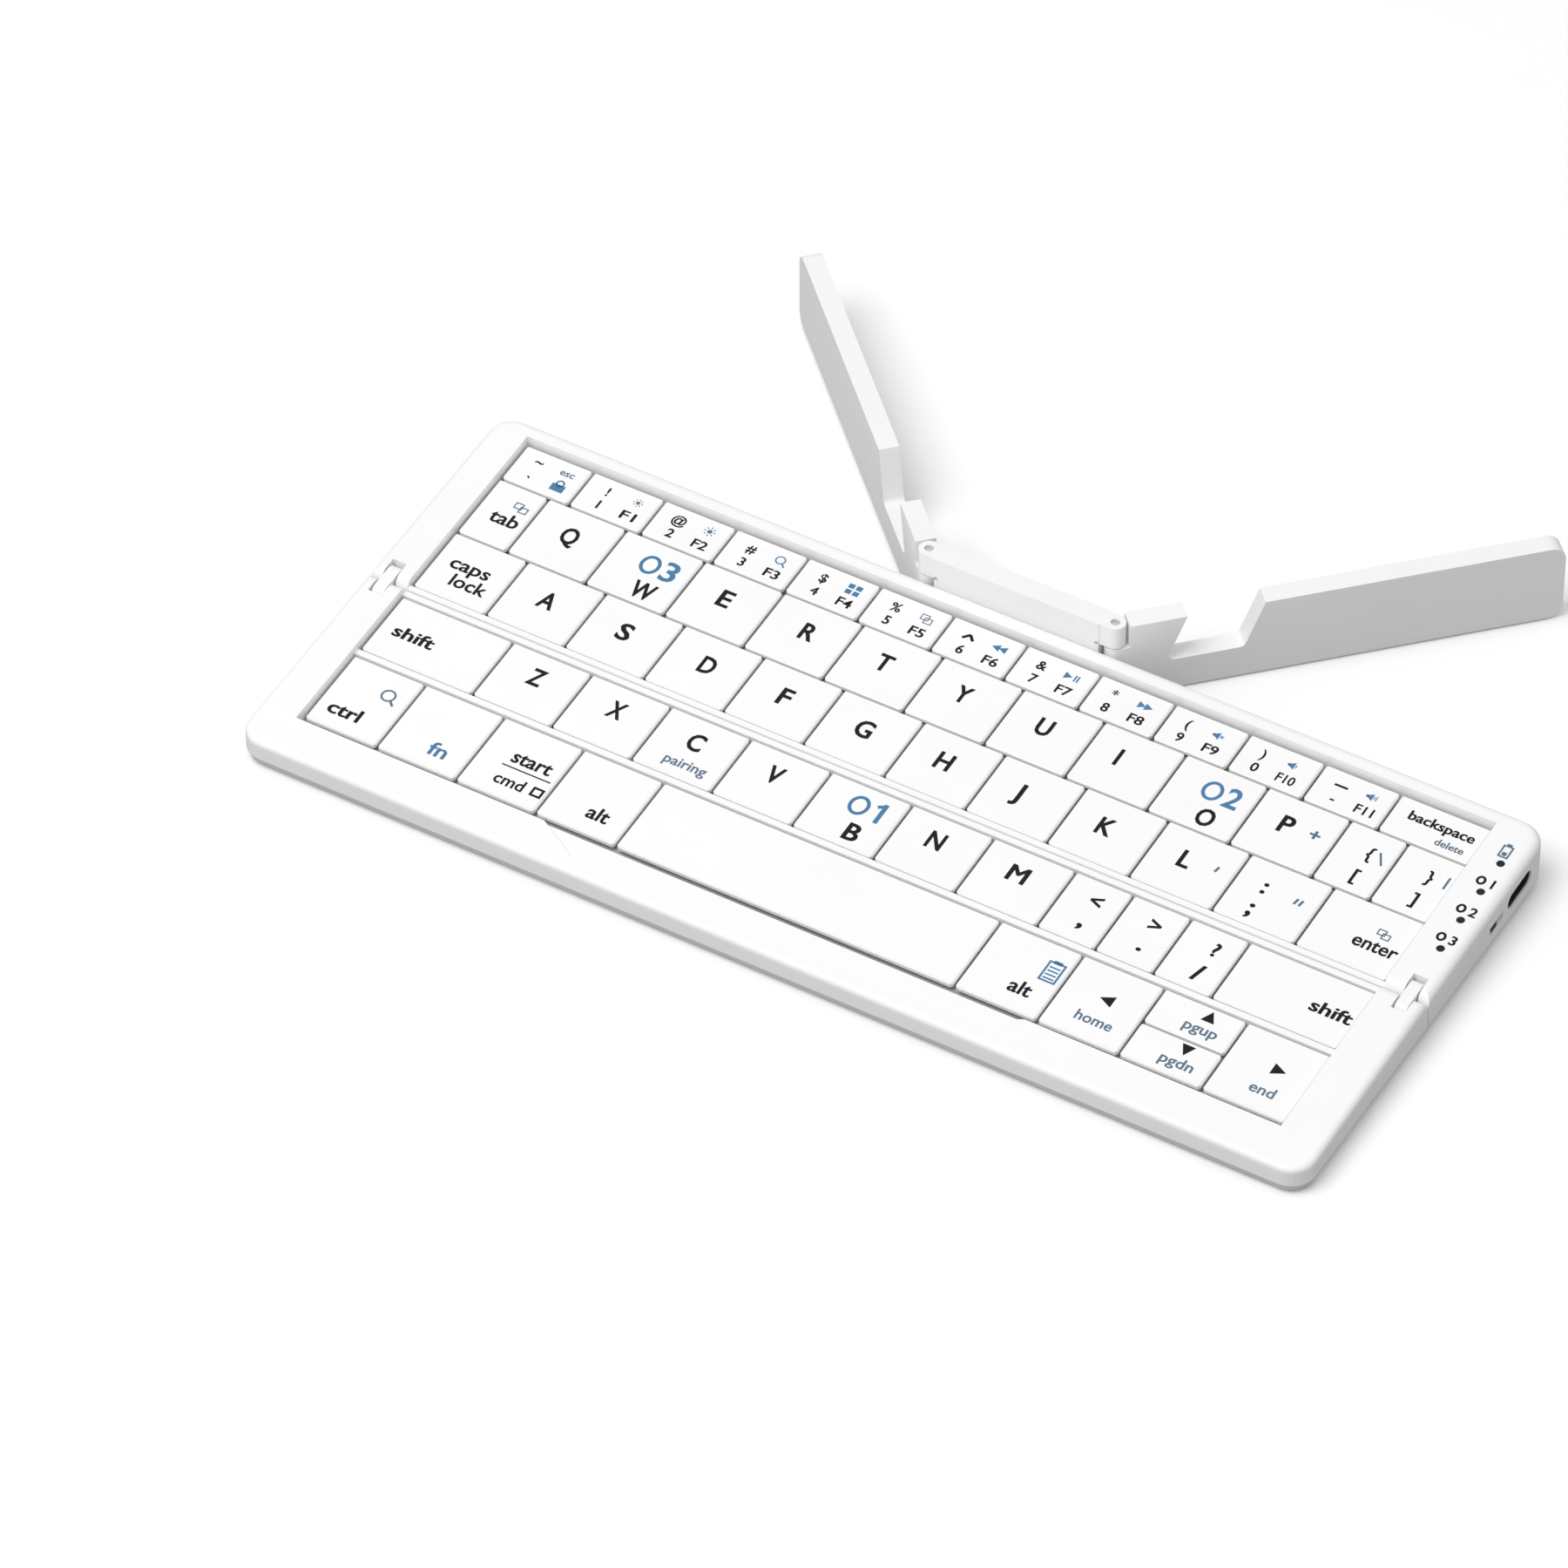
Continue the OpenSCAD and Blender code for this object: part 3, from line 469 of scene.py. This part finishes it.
def spot(shape, x, v, wide, tall=None, corners=20, angle=0.0, line=0.0):
    """A disc, triangle or square, or with a line width only its outline."""
    part = bmesh.new()
    bmesh.ops.create_circle(part, cap_ends=True, segments=corners, radius=0.5)
    turned = Matrix.Rotation(TURN.get(corners, 0), 3, "Z")
    bmesh.ops.rotate(part, matrix=turned, verts=part.verts)
    xs = [vert.co.x for vert in part.verts]
    ys = [vert.co.y for vert in part.verts]
    bmesh.ops.translate(part, vec=(-(max(xs) + min(xs)) / 2, 0, 0), verts=part.verts)
    stretch = (wide / (max(xs) - min(xs)), (tall or wide) / (max(ys) - min(ys)), 1)
    bmesh.ops.scale(part, vec=stretch, verts=part.verts)
    if line:
        middle = list(part.faces)
        bmesh.ops.inset_region(part, faces=middle, thickness=line, use_boundary=True,
                               use_even_offset=True)
        bmesh.ops.delete(part, geom=middle, context="FACES")
    place = Matrix.Translation((x, v, 0)) @ Matrix.Rotation(math.radians(angle), 4, "Z")
    raise_ink(part, place)
    merge(shape, part)


def bar(shape, x, v, length, width, angle=0.0):
    """A stroke round x, v, turned by an angle in degrees."""
    spot(shape, x, v, length, width, corners=4, angle=angle)


def speaker(shape, x, v, waves):
    """A loudspeaker: a small box, a cone, and strokes for its loudness."""
    bar(shape, x - 0.75, v, 0.5, 0.6)
    spot(shape, x - 0.35, v, 1.4, 1.8, corners=3, angle=180)
    if waves == 0:
        bar(shape, x + 0.85, v, 0.9, 0.2, 45)
        bar(shape, x + 0.85, v, 0.9, 0.2, -45)
    for i in range(waves):
        bar(shape, x + 0.65 + 0.42 * i, v, 0.8 + 0.45 * i, 0.2, 90)


def sun(shape, x, v, size):
    """A disc with eight short rays."""
    spot(shape, x, v, size * 0.42)
    reach = size * 0.42
    for ray_angle in range(0, 360, 45):
        turned = math.radians(ray_angle)
        bar(shape, x + reach * math.cos(turned), v + reach * math.sin(turned),
            size * 0.16, size * 0.09, ray_angle)


def magnifier(shape, x, v, size):
    """A ring with a handle."""
    spot(shape, x - size * 0.08, v + size * 0.08, size * 0.76, line=size * 0.1)
    bar(shape, x + size * 0.3, v - size * 0.3, size * 0.34, size * 0.12, -45)


def pair_of_squares(shape, places, wide, tall, line):
    """Two outlined squares that overlap at their corners."""
    for x, v in places:
        spot(shape, x, v, wide, tall, corners=4, line=line)


def ring(shape, x, v, wide, tall):
    """The sign of a paired device: a heavy upright ring."""
    spot(shape, x, v, wide, tall, corners=28, line=wide * 0.17)


# %% [markdown]
# ### One print for each body and ink
# Prints are gathered in a book of open meshes, keyed by body and ink. When all legends are
# in, each becomes one object on its key's top, and rides with that key.

# %% The book of prints
PRINTS = {}


def page(body, ink):
    """The open mesh for what this ink prints on this body."""
    if (body, ink) not in PRINTS:
        PRINTS[body, ink] = bmesh.new()
    return PRINTS[body, ink]


# %% [markdown]
# ### Letters
# Each row has the middle of its letters, and then the distance of each from the left edge
# of its key and its width. Three letters stand lower, under the ring and the number of a
# device.

# %% Letters
letter_h = 4.0
letter_weight = 0.03
LETTER_ROWS = {
    "q": (26.35, {"Q": (8.3, 3.5), "W": (10.4, 4.7), "E": (8, 2.7), "R": (8.8, 3),
                  "T": (7.9, 3), "Y": (7.6, 3.1), "U": (7.7, 3.1), "I": (6.2, 0.75),
                  "O": (10.2, 3.6), "P": (7, 2.7)}),
    "a": (10.2, {"A": (8.2, 3.4), "S": (7.9, 2.9), "D": (8.7, 3.1), "F": (8.2, 2.5),
                 "G": (8, 3.5), "H": (7.8, 3.2), "J": (6.5, 1.7), "K": (7.5, 3.2),
                 "L": (7, 2.4)}),
    "z": (-7.5, {"Z": (8.2, 3), "X": (8.4, 3.2), "C": (8.3, 3.2), "V": (8, 3.1),
                 "B": (10.5, 3), "N": (7.8, 3.2), "M": (7.9, 3.9)}),
}
PAIRED = {"W": ("3", 12.5, 3.1), "O": ("2", 12.5, 3), "B": ("1", 12.8, 0.9)}
paired_drop = 5.5
ring_offset, ring_w, ring_h, ring_rise = 8.25, 4.1, 4.8, 0.85
device_h = 4.7
for row, (v, letters) in LETTER_ROWS.items():
    for i, (text, (offset, width)) in enumerate(letters.items()):
        left = key_left(row, i + 1)
        low = paired_drop if text in PAIRED else 0
        body = "key_" + text.lower()
        add_text(page(body, "black"), text, left + offset, v - low, letter_h,
                 letter_weight, width)
        if low:
            blue = page(body, "blue")
            ring(blue, left + ring_offset, v + ring_rise, ring_w, ring_h)
            device, offset, width = PAIRED[text]
            add_text(blue, device, left + offset, v + ring_rise, device_h, 0.02, width)
            if device == "1":
                bar(blue, left + offset - 0.8, v + 2.4, 1.3, 0.75, 30)   # its flag
add_text(page("key_p", "slate"), "+", key_left("q", 10) + 12.7, 26.5, 2.7, 0.03)
bar(page("key_l", "slate"), key_left("a", 9) + 13.1, 10.7, 1.4, 0.5, 80)
add_text(page("key_c", "slate"), "pairing", key_left("z", 3) + 9.4, -13.1, 2.2, 0.02, 8.8)
print("letters on", len(PRINTS), "pages")

# %% [markdown]
# ### Number row
# Each key has two signs in its left column, and its function with a small picture in its
# right column. The columns move a little to the right in the middle of the row, and the
# two signs of the first key stand further apart.

# %% Number row: characters
upper_v, lower_v = 39.65, 36.05
digit_h, digit_weight = 2.1, 0.024
left_column, right_column = 4.1, 10.5
AWAY = (0.2, 0.7, 0.7, 0.7, 0.7, 0.65, 0.65, 0.5, 0.1, 0.1, 0.1, 0.7)
UPPER, LOWER = "~!@#$%^&*()_", "`1234567890-"
APART = {"~": 0.6, "`": -0.9}
black = page("number_keys", "black")
for i in range(len(LOWER)):
    x = key_left("number", i) + left_column + AWAY[i]
    if UPPER[i] == "^":
        bar(black, x - 0.55, upper_v - 0.2, 1.7, 0.6, 48)
        bar(black, x + 0.55, upper_v - 0.2, 1.7, 0.6, -48)
    elif UPPER[i] == "_":
        bar(black, x, upper_v - 0.3, 2.7, 0.5)
    else:
        add_text(black, UPPER[i], x, upper_v + APART.get(UPPER[i], 0), digit_h, 0.022)
    add_text(black, LOWER[i], x, lower_v + APART.get(LOWER[i], 0), digit_h, digit_weight)
    if i:
        add_text(black, "F%d" % i, x + right_column - left_column, lower_v, digit_h,
                 digit_weight, 3.1 if i < 10 else 3.7)
print("number row:", len(LOWER), "keys")

# %% Number row: pictures
blue = page("number_keys", "blue")
slate = page("number_keys", "slate")
first_left = key_left("number", 0)


def function_x(number):
    """Middle of the right column of a key."""
    return key_left("number", number) + right_column + AWAY[number]


add_text(slate, "esc", first_left + 10.5, 40.1, 1.6, 0.02)
bar(blue, first_left + 10.6, 36, 2.8, 1.8)                         # a padlock
spot(blue, first_left + 10.6, 37.2, 1.8, 1.8, line=0.35)
sun(slate, function_x(1), upper_v + 0.2, 2.0)
sun(slate, function_x(2), upper_v + 0.2, 2.4)
magnifier(blue, function_x(3), upper_v - 0.1, 2.8)
for column in (-0.8, 0.8):                                         # four tiles
    for step in (-0.75, 0.75):
        spot(blue, function_x(4) + column, upper_v + step, 1.2, 1.1, corners=4)
pair_of_squares(slate, ((function_x(5) - 0.4, upper_v + 0.3),
                        (function_x(5) + 0.5, upper_v - 0.4)), 1.7, 1.5, 0.2)
for step in (-0.8, 0.6):                                           # back and forward
    spot(blue, function_x(6) + step, upper_v, 1.6, 1.7, corners=3, angle=180)
    spot(blue, function_x(8) - step, upper_v, 1.6, 1.7, corners=3)
spot(blue, function_x(7) - 0.9, upper_v, 1.6, 1.7, corners=3)      # play and pause
for step in (0.5, 1.1):
    bar(blue, function_x(7) + step, upper_v, 1.6, 0.32, 90)
for number, waves in ((9, 0), (10, 1), (11, 2)):
    speaker(blue, function_x(number) - 0.4, upper_v, waves)
print("pictures on keys 0 to 11")

# %% [markdown]
# ### Words and other signs
# These stand at places of their own. A table for each body and ink gives a text, its
# middle, the height of its capitals and its weight, and then its width if that isn't the
# font's own.


# %% Words and signs of the back half
def add_words(body, ink, words):
    """Prints a table of texts on one page."""
    for text, x, v, *sizes in words:
        add_text(page(body, ink), text, x, v, *sizes)


add_words("edge_keys", "black", (
    ("backspace", 93.2, 39.3, 2.2, 0.032, 13.4),
    ("tab", -96.5, 24.4, 3.1, 0.022, 6),
    ("caps", -95.4, 10.5, 3, 0.022, 8.4),
    ("lock", -93.5, 6.5, 3, 0.022, 7.6),
))
add_words("edge_keys", "slate", (("delete", 96.5, 35.7, 1.6, 0.025, 5.8),))
pair_of_squares(page("edge_keys", "slate"), ((-95.9, 28.5), (-94.6, 27.8)), 1.8, 1.6, 0.25)

left_bracket, right_bracket, colon = key_left("q", 11), key_left("q", 12), key_left("a", 10)
add_words("punctuation_back", "black", (
    ("{", left_bracket + 6.6, 27.3, 2.7, 0.025),
    ("[", left_bracket + 6.7, 21.5, 2.8, 0.025),
    ("}", right_bracket + 7, 27.4, 2.7, 0.025),
    ("]", right_bracket + 6.9, 21.6, 2.8, 0.025),
    (":", colon + 5.8, 11.4, 3.7, 0.03),
    (";", colon + 5.9, 5.8, 4, 0.03),
))
slate = page("punctuation_back", "slate")
bar(slate, left_bracket + 8.9, 27, 3.2, 0.4, -62)
bar(slate, right_bracket + 10.3, 27.5, 3, 0.45, 90)
for step in (-0.5, 0.5):
    bar(slate, colon + 12.8 + step, 10.7, 1.5, 0.5, 80)

add_words("key_enter", "black", (("enter", 96.1, 8.1, 3, 0.022, 8.9),))
pair_of_squares(page("key_enter", "slate"), ((95.6, 11.5), (96.7, 10.8)), 1.7, 1.5, 0.25)
print("back half:", len(PRINTS), "pages")

# %% Words and signs of the front half
comma, period, question = (key_left("z", number) for number in (8, 9, 10))
add_words("punctuation_front", "black", (
    ("<", comma + 6.5, -6.5, 3.1, 0.03), (",", comma + 6.5, -11.4, 3.6, 0.04),
    (">", period + 6.7, -6.5, 3.1, 0.03), (".", period + 6.7, -11.4, 3.6, 0.04),
    ("?", question + 7.2, -6.5, 3.1, 0.03), ("/", question + 6.9, -12.7, 3.6, 0.04),
))
add_words("bottom_keys", "black", (
    ("shift", -95.5, -9.6, 2.8, 0.03, 8.7), ("shift", 96.6, -9.5, 2.8, 0.03, 8.4),
    ("ctrl", -96.9, -31.6, 3, 0.03, 6.8), ("start", -59.8, -26.1, 3.1, 0.025, 8.2),
    ("cmd", -61.2, -32.1, 2.6, 0.02, 6.2), ("alt", -42.7, -31.3, 3.1, 0.025, 4.5),
    ("alt", 45.1, -31, 3.1, 0.025, 4.5),
))
black = page("bottom_keys", "black")
bar(black, -59.6, -28.9, 10.3, 0.3)
spot(black, -55.4, -32.1, 2.4, 2.3, corners=4, line=0.5)
add_words("bottom_keys", "blue", (("fn", -76.7, -31.7, 3.2, 0.022, 3.8),))
magnifier(page("bottom_keys", "slate"), -91.6, -24.8, 4)

blue = page("bottom_keys", "blue")                                 # a sheet on a clipboard
sheet_x = 48.3
spot(blue, sheet_x, -25.2, 3.5, 5, corners=4, line=0.4)
bar(blue, sheet_x, -22.8, 1.7, 0.8)
for step in (-1.5, -0.6, 0.3, 1.2):
    bar(blue, sheet_x, -25.3 + step, 2.2, 0.35)

black = page("arrow_keys", "black")
for x, v, wide, angle in ((60, -26.2, 2.7, 180), (78.2, -20.9, 2.6, 90),
                          (78.2, -29.9, 2.6, -90), (95, -26.2, 2.7, 0)):
    spot(black, x, v, wide, 2.7, corners=3, angle=angle)
add_words("arrow_keys", "slate", (
    ("home", 60.4, -31.5, 2.3, 0.02, 7.4), ("pgup", 78.1, -24.2, 2.3, 0.02, 6.7),
    ("pgdn", 78.1, -33.1, 2.3, 0.02, 6.7), ("end", 94.5, -31.5, 2.3, 0.02, 5),
))
print("both halves:", len(PRINTS), "pages")

# %% [markdown]
# ### Signs beside the indicators
# The right rim has four indicators. The first shows power, the other three say which
# device is connected, with the same ring and number as the keys.

# %% Prints on the rim
rim_print = page("back_half", "black")
led_x, sign_reach = 107.1, 1.2
for number, v in ((1, 30), (2, 22.3), (3, 14.6)):
    spot(rim_print, led_x - sign_reach, v, 1.9, 2.2, line=0.5)
    add_text(rim_print, str(number), led_x + sign_reach, v, 2.1, 0.03)
battery_sign = page("back_half", "slate")
battery_x = led_x - 0.5
spot(battery_sign, battery_x, 38.2, 2.1, 3.1, corners=4, line=0.35)
bar(battery_sign, battery_x, 40, 1, 0.45)
bar(battery_sign, battery_x, 37.6, 0.9, 0.9)
print("rim:", len(PRINTS), "pages")

# %% Turn the pages into pieces
rim_level = 0.0
faces = 0
for (body, ink), shape in PRINTS.items():
    name = "print_%s_%s" % (body, ink)
    level = rim_level if body == "back_half" else key_top
    place = (DECK @ Matrix.Translation((0, 0, (level + ink_height / 2) * mm))
             @ Matrix.Scale(mm, 4))
    bmesh.ops.transform(shape, matrix=place, verts=shape.verts)
    mesh = bpy.data.meshes.new(name)
    shape.to_mesh(mesh)
    shape.free()
    faces += len(mesh.polygons)
    piece = bpy.data.objects.new(name, mesh)
    bpy.context.scene.collection.objects.link(piece)
    piece.data.materials.append(INKS[ink])
    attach(piece, body)
print("prints:", len(PRINTS), "faces:", faces)
